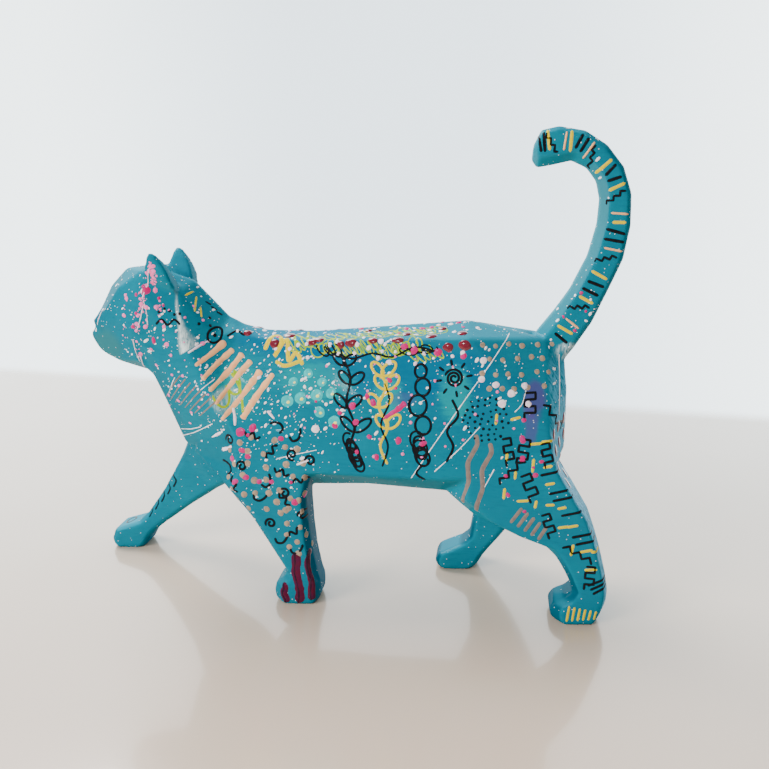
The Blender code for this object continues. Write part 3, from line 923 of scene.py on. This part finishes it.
def drawMaroon(settings):
    rng = random.Random(settings["seed"])
    pen = Brush(settings)
    ridge = ((-29.5, 110.4), (-18.5, 108.4), (-5.5, 107.8), (8, 107.6), (27, 109.5), (46.8, 107.6),
             (53.3, 108.6))
    unevenDots(pen, rng, "left", ridge, (1.7, 2.3), 1.0, (1.0, 1.3), (-0.3, 0.3))
    back = ((-36, -6), (-24, -9), (-8, -10), (4, -12), (17, -13), (30, -9), (40, -12), (44, -6), (52, -11),
            (14, -4), (-16, 2), (0, 5), (26, 4), (38, 6), (-34, 5))
    unevenDots(pen, rng, "top", back, settings["dot"], 1.0, (0.85, 1.15))
    for u, v in ((-30, 104), (-10, 103), (12, 104), (34, 106), (50, 104)):
        pen.dot("right", u, v, rng.uniform(*settings["dot"]), 1.0, 1.0, 0.0, u)
    # four slanted rows of flat ovals on the rump
    for k in range(12):
        u = -19.5 + (k % 3) * 4.6 + rng.uniform(-0.6, 0.6)
        v = 56 + (k // 3) * 6.4 + (k % 3) * 2.2
        pen.dot("rear", u, v, 1.1, 0.5, 2.2, 1.45, k)
    pen.finish()


plumStripes = {"name": "plum_stripes", "paint": "plum_paint", "lift": 0.22,
               "colour": (114, 8, 48), "shade": (90, 14, 72), "roughness": 0.3, "coat": 0.3}
plumCores = {"name": "plum_stripe_cores", "paint": "plum_core_paint", "lift": 0.3, "line": 1.1,
             "colour": (58, 14, 48), "shade": (46, 12, 40), "roughness": 0.3, "coat": 0.3}


def drawPawStripes(settings, coreSettings):
    pen = Brush(settings)
    core = Brush(coreSettings)
    # place, top, low end and width of each stripe
    stripes = ((-17.2, 9.2, 0.8, 3.5), (-11.2, 22.6, 0.8, 4.0), (-5.9, 23.6, 2.4, 3.4))
    for k, (u, top, low, width) in enumerate(stripes):
        path = []
        for i in range(6):
            lean = (1 - i / 5) * (top - low) * 0.09
            path.append((u + 0.5 * math.sin(i * 1.9 + k) - lean, top + (low - top) * i / 5))
        pen.bend("left", path, width, 0.35, k)
        core.bend("left", [(x - 0.5, z - 0.3) for x, z in path], coreSettings["line"], 0.5, k)
    pen.finish()
    core.finish()


aquaDots = {"name": "aqua_dots", "paint": "aqua_paint", "seed": 51, "lift": 0.18,
            "dot": (1.8, 2.6), "farDot": 2.0,
            "colour": (22, 182, 184), "shade": (60, 196, 196), "roughness": 0.3, "coat": 0.2}
aquaCentres = {"name": "aqua_dot_centres", "paint": "lemon_paint", "lift": 0.26, "share": 0.3, "farDot": 0.7,
               "colour": (226, 214, 110), "shade": (236, 226, 190), "roughness": 0.3, "coat": 0.2}


def drawAqua(settings, centreSettings):
    rng = random.Random(settings["seed"])
    pen = Brush(settings)
    heart = Brush(centreSettings)
    for u, v in ((-15, 91.5), (-9, 95), (-3, 92), (-11.5, 85.5), (-5, 87), (1, 88), (-3.5, 80.5), (2.6, 77),
                 (-17, 84)):
        size = rng.uniform(*settings["dot"])
        pen.dot("left", u, v, size, 0.8, rng.uniform(0.9, 1.1), 0.0, u)
        heart.dot("left", u + 0.5, v - 0.3, size * centreSettings["share"], 1.0, 1.2, 0.4, u)
    for u, v in scatter(rng, (-12, 86), (14, 9), 7, 7):
        pen.dot("right", u, v, settings["farDot"], 0.8, 1.0, 0.0, u)
        heart.dot("right", u, v, centreSettings["farDot"], 1.0, 1.0, 0.0, u)
    pen.finish()
    heart.finish()


roseSpecks = {"name": "rose_specks", "paint": "rose_paint", "seed": 57, "lift": 0.16, "smallest": 0.28,
              "spread": 0.75, "stray": 0.65,
              "colour": (226, 158, 192), "shade": (222, 128, 176), "roughness": 0.32, "coat": 0.2}


def drawRose(settings):
    rng = random.Random(settings["seed"])
    pen = Brush(settings)
    columns = (  # specks run down from the first point to the last, with their count
        ((-71.6, 138.5), (-71.2, 126), 34), ((-72.6, 137), (-76.4, 124), 20), ((-76.4, 124), (-80, 110), 22),
        ((-76, 124), (-74.6, 112), 12), ((-81.6, 108), (-80.6, 98), 8), ((-70, 124), (-67, 104), 20),
        ((-84, 126), (-86, 106), 12))
    for first, last, count in columns:
        for k in range(count):
            share = rng.random()
            u = first[0] + (last[0] - first[0]) * share + rng.gauss(0, settings["stray"])
            v = first[1] + (last[1] - first[1]) * share
            size = settings["smallest"] + settings["spread"] * rng.random() ** 2.4
            pen.dot("left", u, v, size, 0.9, rng.uniform(0.8, 1.3), rng.uniform(0, 3), k)
    unevenDots(pen, rng, "left", scatter(rng, (-62, 96), (14, 26), 4.5, 26), (0.3, 0.85), 0.9, (0.8, 1.4))
    for u, v in scatter(rng, (30, 84), (46, 20), 6.5, 34):
        pen.dot("left", u, v, rng.uniform(0.3, 0.7), 0.9, 1.0, 0.0, u)
    pen.finish()


pinkSpots = {"name": "pink_spots", "paint": "pink_paint", "seed": 61, "lift": 0.24,
             "gap": 3.0, "smallest": 0.4,
             "colour": (194, 0, 126), "shade": (188, 78, 160), "roughness": 0.28, "coat": 0.3}


def drawPink(settings):
    rng = random.Random(settings["seed"])
    pen = Brush(settings)
    zones = (  # side, centre, reach, count and the largest radius
        ("left", (-26, 60), (18, 14), 12, 1.9), ("left", (18, 80), (26, 16), 14, 1.4),
        ("left", (-75, 118), (8, 12), 6, 1.1), ("left", (40, 106), (14, 4), 5, 1.7),
        ("left", (76, 66), (8, 22), 9, 1.4), ("left", (-9, 44), (8, 10), 3, 1.9),
        ("right", (0, 80), (50, 22), 18, 1.3), ("top", (10, -2), (50, 8), 14, 1.3),
        ("left", (96, 128), (8, 16), 6, 0.8))
    for side, centre, reach, count, largest in zones:
        for u, v in scatter(rng, centre, reach, settings["gap"], count):
            size = largest * rng.uniform(settings["smallest"], 1.0)
            pen.dot(side, u, v, size, 0.9, rng.uniform(0.8, 1.5), rng.uniform(0, 3), u)
    pen.bend("left", [(22, 79), (27, 82.5), (31, 86)], (1.2, 2.6), 0.5)
    pen.dot("left", -74.8, 127, 1.7, 0.9, 1.1, 0.3, 5)
    pen.dot("left", -72.5, 106.8, 0.8, 0.9, 2.1, 1.7, 6)
    pen.finish()


drawMaroon(maroonDots)
drawPawStripes(plumStripes, plumCores)
drawAqua(aquaDots, aquaCentres)
drawRose(roseSpecks)
drawPink(pinkSpots)

# spatter flicked over everything
whiteSpatter = {"name": "white_spatter", "paint": "white_paint", "seed": 71, "lift": 0.1, "smallest": 0.15,
                "spread": 0.5, "thread": 0.38, "threadWobble": 0.6,
                "colour": (240, 232, 240), "shade": (232, 208, 228), "roughness": 0.34, "coat": 0.1}


def drawSpatter(settings):
    rng = random.Random(settings["seed"])
    pen = Brush(settings)
    zones = (  # side, centre, reach and count
        ("left", (-70, 112), (24, 26), 130), ("left", (-44, 92), (26, 26), 120),
        ("left", (-20, 82), (28, 26), 210), ("left", (18, 90), (40, 22), 190),
        ("left", (66, 100), (20, 14), 45), ("left", (-22, 54), (22, 22), 90),
        ("left", (76, 66), (20, 26), 18), ("left", (95, 135), (14, 40), 70),
        ("top", (0, -3), (95, 10), 230), ("right", (-10, 84), (80, 34), 380),
        ("rear", (0, 84), (14, 26), 40), ("front", (0, 112), (14, 26), 50))
    for side, centre, reach, count in zones:
        for k in range(count):
            u = rng.gauss(centre[0], reach[0] * 0.5)
            v = rng.gauss(centre[1], reach[1] * 0.5)
            size = settings["smallest"] + settings["spread"] * rng.random() ** 3.5
            pen.dot(side, u, v, size, 1.0, rng.uniform(0.8, 2.2), rng.gauss(0.8, 0.4), k)
    threads = (  # long threads of paint: side and ends
        ("left", (70, 112), (34, 57)), ("left", (60, 78), (43, 60)), ("left", (77, 92), (73, 84)),
        ("left", (-69, 62), (-49, 73)), ("left", (-68, 66), (-56, 70)), ("left", (-47, 92), (-58, 82)),
        ("right", (40, 106), (8, 60)), ("right", (-20, 96), (10, 74)), ("left", (-4, 66), (-20, 62)),
        ("left", (89.5, 104), (90, 82)), ("left", (60, 50), (66, 62)), ("left", (-64, 92), (-69, 84)))
    for side, a, b in threads:
        path = bowed(a, b, rng.uniform(-1, 1), rng.uniform(-1, 1))
        pen.bend(side, path, settings["thread"], settings["threadWobble"])
    pen.finish()


drawSpatter(whiteSpatter)

# table, backdrop and lights; sizes in metres, and where the front of the table warms up in millimetres
tableTop = {"left": -0.9, "right": 1.0, "front": -0.9, "edge": 0.307, "slope": 0.1, "fade": 0.018,
            "darker": (200, 178, 158), "lighter": (208, 188, 170), "warmer": (214, 184, 158),
            "warmFrom": 60.0, "warmFull": -230.0, "roughness": 0.22, "coat": 0.8, "coatRoughness": 0.07}


def buildTable(settings):
    edge = settings["edge"] + settings["fade"]
    mesh = bpy.data.meshes.new("table")
    corners = [(settings["left"], settings["front"], 0), (settings["right"], settings["front"], 0),
               (settings["right"], edge - settings["right"] * settings["slope"], 0),
               (settings["left"], edge - settings["left"] * settings["slope"], 0)]
    mesh.from_pydata(corners, [], [(0, 1, 2, 3)])
    table = addObject("table", mesh)
    coat = Coat("table_top")
    point = coat.place()
    along, across = coat.axes(point)[:2]
    cloud = coat.cloud(point, 0.004, 3.0)
    tone = coat.blend(coat.ease(cloud, 0.3, 0.7), linear(*settings["darker"]), linear(*settings["lighter"]))
    warm = 1 - coat.ease(across, settings["warmFull"], settings["warmFrom"])
    tone = coat.blend(warm * 0.6, tone, linear(*settings["warmer"]))
    depth = across + along * settings["slope"]
    alpha = 1 - coat.ease(depth, (settings["edge"] - settings["fade"]) / mm, edge / mm)
    coat.shader.inputs["Coat Weight"].default_value = settings["coat"]
    coat.varnish(settings["coatRoughness"])
    mesh.materials.append(coat.finish(Base_Color=tone, Roughness=settings["roughness"], Alpha=alpha))


paperWall = {"half": 3.0, "away": 1.4, "height": 1.6, "middle": (192, 206, 215), "sides": (240, 252, 255),
             "centre": -150.0, "darkHalf": 150.0, "paleHalf": 900.0, "glow": 3.3, "roughness": 0.9}


def buildBackdrop(settings):
    half, away, height = settings["half"], settings["away"], settings["height"]
    mesh = bpy.data.meshes.new("backdrop")
    corners = [(-half, away, -height), (half, away, -height), (half, away, height), (-half, away, height)]
    mesh.from_pydata(corners, [], [(0, 1, 2, 3)])
    backdrop = addObject("backdrop", mesh)
    coat = Coat("backdrop_paper")
    point = coat.place()
    aside = coat.maths("ABSOLUTE", coat.axes(point)[0] - settings["centre"])
    glow = coat.ease(aside, settings["darkHalf"], settings["paleHalf"]) + coat.cloud(point, 0.0011, 1.0) * 0.1
    tone = coat.blend(glow, linear(*settings["middle"]), linear(*settings["sides"]))
    coat.shader.inputs["Emission Strength"].default_value = settings["glow"]
    mesh.materials.append(coat.finish(Base_Color=tone, Emission_Color=tone, Roughness=settings["roughness"]))


lighting = {
    "aim": (0.0, 0.0, 0.08), "air": (0.95, 0.97, 1.0, 1.0), "airStrength": 0.42,
    "lamps": (  # name, place, size, power, colour, and whether the varnish mirrors it
        ("window", (-0.55, 0.4, 1.0), 0.6, 20.0, (0.97, 0.99, 1.0), True),
        ("room", (-0.95, -0.85, 0.5), 0.6, 26.0, (1.0, 0.98, 0.95), False),
        ("glint", (-0.25, -0.85, 0.55), 0.1, 1.6, (1.0, 0.99, 0.97), True)),
}


def addLights(settings):
    for name, place, size, power, colour, mirrored in settings["lamps"]:
        data = bpy.data.lights.new(name, "AREA")
        data.size = size
        data.energy = power
        data.color = colour
        item = bpy.data.objects.new(name, data)
        bpy.context.scene.collection.objects.link(item)
        item.visible_glossy = mirrored
        item.location = place
        item.rotation_euler = (Vector(settings["aim"]) - Vector(place)).to_track_quat("-Z", "Y").to_euler()
    world = bpy.data.worlds.new("room_light")
    bpy.context.scene.world = world
    world.use_nodes = True
    world.node_tree.nodes["Background"].inputs["Color"].default_value = settings["air"]
    world.node_tree.nodes["Background"].inputs["Strength"].default_value = settings["airStrength"]


buildTable(tableTop)
buildBackdrop(paperWall)
addLights(lighting)
print("stage done")
